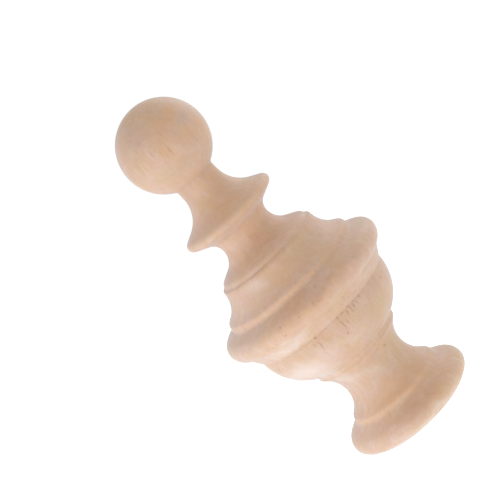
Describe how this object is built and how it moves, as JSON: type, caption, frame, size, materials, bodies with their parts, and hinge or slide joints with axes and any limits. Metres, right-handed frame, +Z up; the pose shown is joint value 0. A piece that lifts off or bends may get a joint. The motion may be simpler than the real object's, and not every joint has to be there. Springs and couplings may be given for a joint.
{
  "type": "railing finial",
  "caption": "Turned wooden finial: a ball on a slim neck over a ringed waist, a wide belted bowl and a stemmed round foot.",
  "frame": {"origin": "middle of the flat underside", "axes": "+Z up the turning axis, from the underside to the ball; +X and +Y across it, all directions alike"},
  "size_m": [0.06, 0.06, 0.128],
  "materials": {
    "wood": "bare sanded beech, matt, with fine grain along the axis and short dark rays"
  },
  "bodies": {
    "root": {"finial": "wood"}
  },
  "joints": []
}
